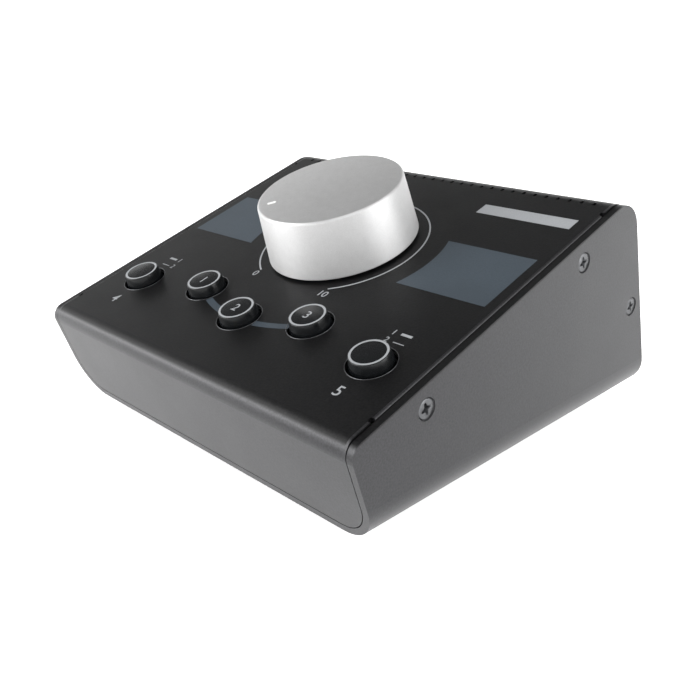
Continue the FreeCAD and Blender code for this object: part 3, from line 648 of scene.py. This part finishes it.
# Plug sockets: eight large and one small, moulded in black nylon with a threaded bushing through
# the rear panel. The large ones have hexagonal nuts, moulded in the switches' thermoplastic.
thread_pitch = 0.0008
socket, tree, shader = new_material("moulded_socket_nylon")
here = add_node(tree, "TexCoord").outputs["Object"]
turned = add_node(tree, "Mapping", {"Vector": here, "Rotation": (slope_angle, 0, 0)},
                  vector_type="TEXTURE")
thread = add_node(tree, "TexWave", {"Vector": turned.outputs["Vector"],
                                    "Scale": wave_period / thread_pitch},
                  bands_direction="Y")
grain = add_node(tree, "TexNoise", {"Vector": here, "Scale": 1600.0, "Detail": 3.0})
tone = add_node(tree, "Mix", {"Factor": grain.outputs["Fac"], "A": linear("#121314"),
                              "B": linear("#202123")}, data_type="RGBA")
bump = add_node(tree, "Bump", {"Height": thread.outputs["Fac"], "Strength": 0.6,
                               "Distance": 0.0002})
tree.links.new(tone.outputs["Result"], shader.inputs["Base Color"])
tree.links.new(bump.outputs["Normal"], shader.inputs["Normal"])
shader.inputs["Roughness"].default_value = 0.4
dress(socket, "mini_jack", *("line_jack_%d" % number_of for number_of in range(1, 9)))
dress(pbt, "jack_nuts")


# Studio: a pale floor that turns up into a wall far round the table, soft boxes at the front
# left, the right and above the camera, and the camera at the photograph's place.
floor_radius = 5.0
wall_height = 2.5
sweep = bmesh.new()
corners = [sweep.verts.new(place) for place in
           ((0, 0, 0), (floor_radius, 0, 0), (floor_radius, 0, wall_height))]
edges = [sweep.edges.new(corners[:2]), sweep.edges.new(corners[1:])]
bmesh.ops.spin(sweep, geom=corners + edges, cent=(0, 0, 0), axis=(0, 0, 1), steps=64,
               angle=2 * math.pi, use_merge=True)
bmesh.ops.remove_doubles(sweep, verts=sweep.verts, dist=0.001)
cove = [edge for edge in sweep.edges
        if all(vert.co.z < 0.001 and vert.co.xy.length > floor_radius - 0.1
               for vert in edge.verts)]
bmesh.ops.bevel(sweep, geom=cove, offset=1.2, affect="EDGES", segments=8, profile=0.5, material=-1)
bmesh.ops.recalc_face_normals(sweep, faces=sweep.faces)
bmesh.ops.reverse_faces(sweep, faces=sweep.faces)
for face in sweep.faces:
    face.smooth = True
mesh = bpy.data.meshes.new("floor")
sweep.to_mesh(mesh)
sweep.free()
floor = bpy.data.objects.new("floor", mesh)
bpy.context.scene.collection.objects.link(floor)
card, tree, shader = new_material("white_paper_sweep")
shader.inputs["Base Color"].default_value = linear("#F4F4F4")
shader.inputs["Roughness"].default_value = 0.9
shader.inputs["Emission Color"].default_value = linear("#FFFFFF")
shader.inputs["Emission Strength"].default_value = 0.7
mesh.materials.append(card)

world = bpy.data.worlds.new("studio_air")
world.use_nodes = True
world.node_tree.nodes["Background"].inputs["Color"].default_value = linear("#FFFFFF")
world.node_tree.nodes["Background"].inputs["Strength"].default_value = 0.22
bpy.context.scene.world = world

aimed_at = Vector((0, 0, 0.04))
for name, place, size, energy in (
        ("left_soft_box", (-0.62, -0.74, 0.48), 0.8, 10.5),
        ("right_soft_box", (0.90, 0.35, 0.36), 0.8, 7.8),
        ("upper_soft_box", (0.32, -0.32, 1.11), 0.5, 2.4)):
    data = bpy.data.lights.new(name, "AREA")
    data.size = size
    data.energy = energy
    lamp = bpy.data.objects.new(name, data)
    lamp.location = place
    lamp.rotation_euler = (Vector(place) - aimed_at).to_track_quat("Z", "Y").to_euler()
    bpy.context.scene.collection.objects.link(lamp)

bpy.context.scene.view_settings.view_transform = "Standard"
lens = bpy.data.cameras.new("photograph_view")
lens.lens = 42.297
lens.clip_start = 0.01
camera = bpy.data.objects.new("photograph_view", lens)
camera.location = (0.17918, -0.18170, 0.11885)
camera.rotation_euler = [math.radians(turned_by) for turned_by in (68.331, 0.230, 44.924)]
bpy.context.scene.collection.objects.link(camera)
bpy.context.scene.camera = camera
